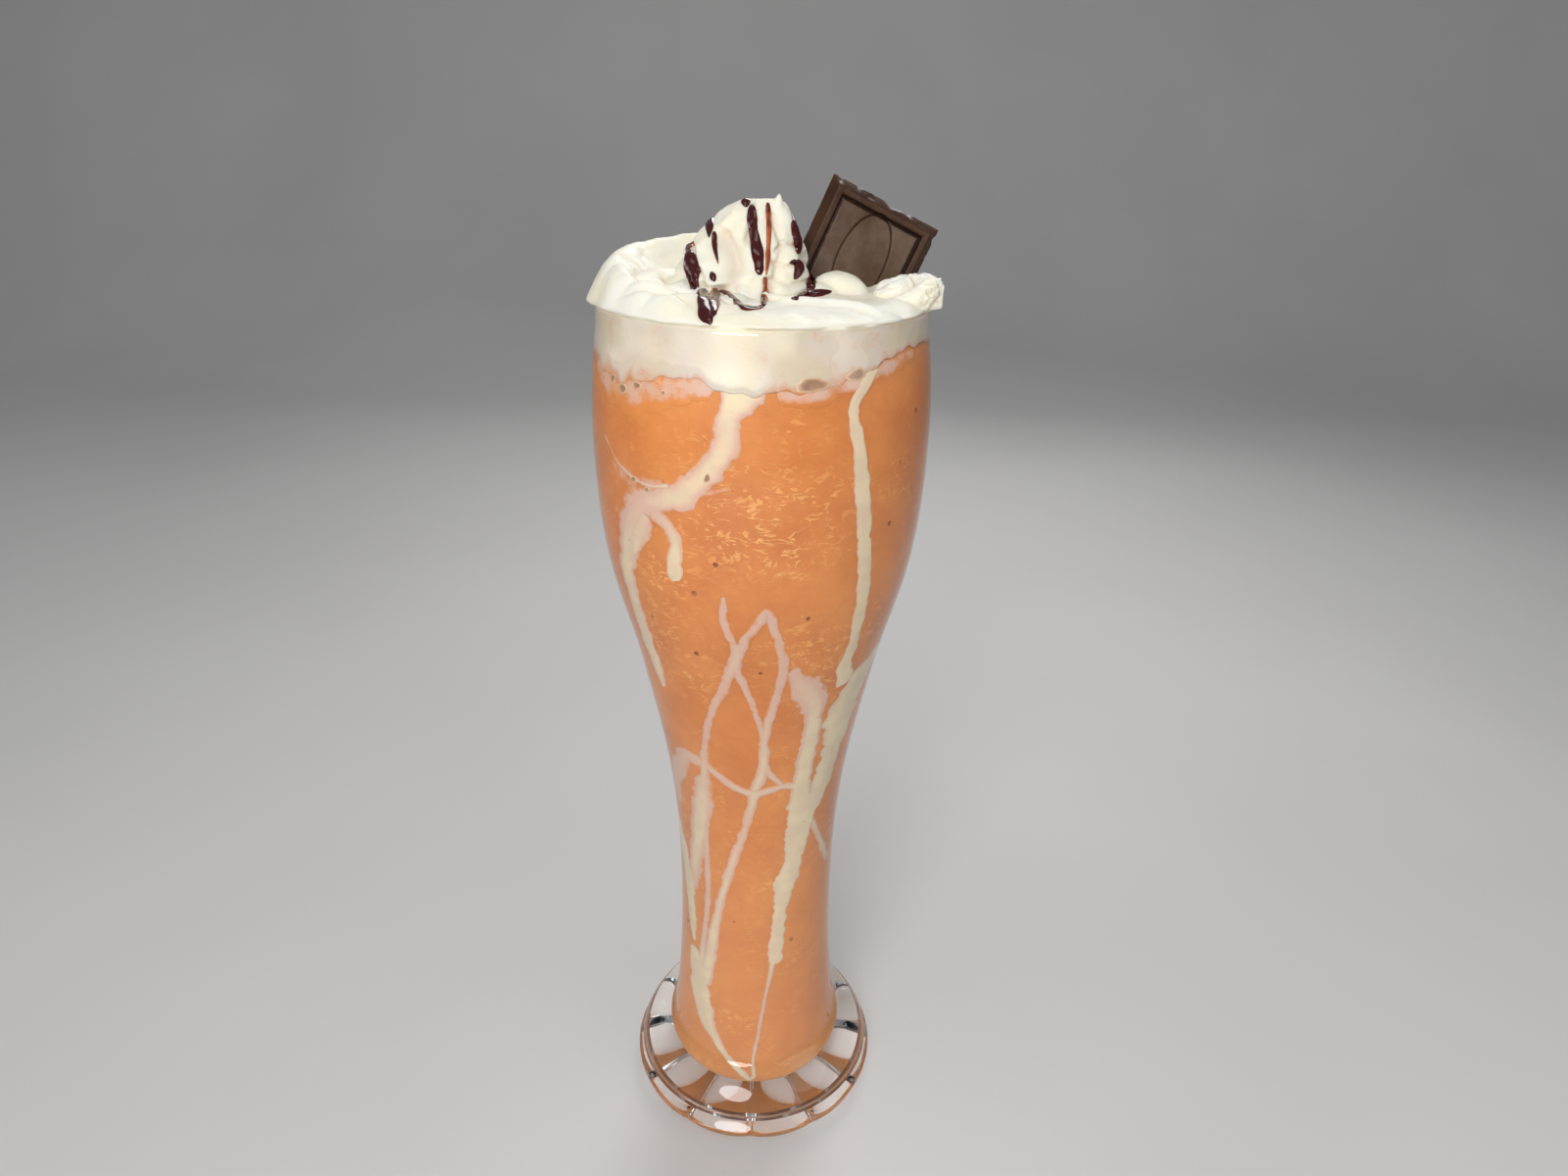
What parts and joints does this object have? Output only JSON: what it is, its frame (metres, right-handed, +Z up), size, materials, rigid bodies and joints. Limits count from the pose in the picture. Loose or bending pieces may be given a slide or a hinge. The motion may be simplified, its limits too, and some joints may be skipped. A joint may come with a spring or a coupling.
{
  "type": "milkshake in a footed glass",
  "caption": "Chocolate milkshake in a tall footed glass, topped with whipped cream, chocolate sauce and a square of dark chocolate.",
  "frame": {"origin": "centre of the glass's foot on the surface it stands on", "axes": "+Z up along the axis of the glass; -Y is the front that the chocolate square faces; +X to the right seen from the front"},
  "size_m": [0.0827, 0.0826, 0.2681],
  "materials": {
    "glass": "clear polished pressed glass",
    "shake": "thick blended milk drink, soft sheen with small bubbles",
    "cream": "soft whipped cream, slightly moist",
    "chocolate": "dark chocolate with a satin surface",
    "sauce": "glossy dark chocolate syrup"
  },
  "bodies": {
    "root": {"glass": "glass", "shake": "shake", "whipped_cream": "cream", "chocolate_square": "chocolate"}
  },
  "joints": []
}
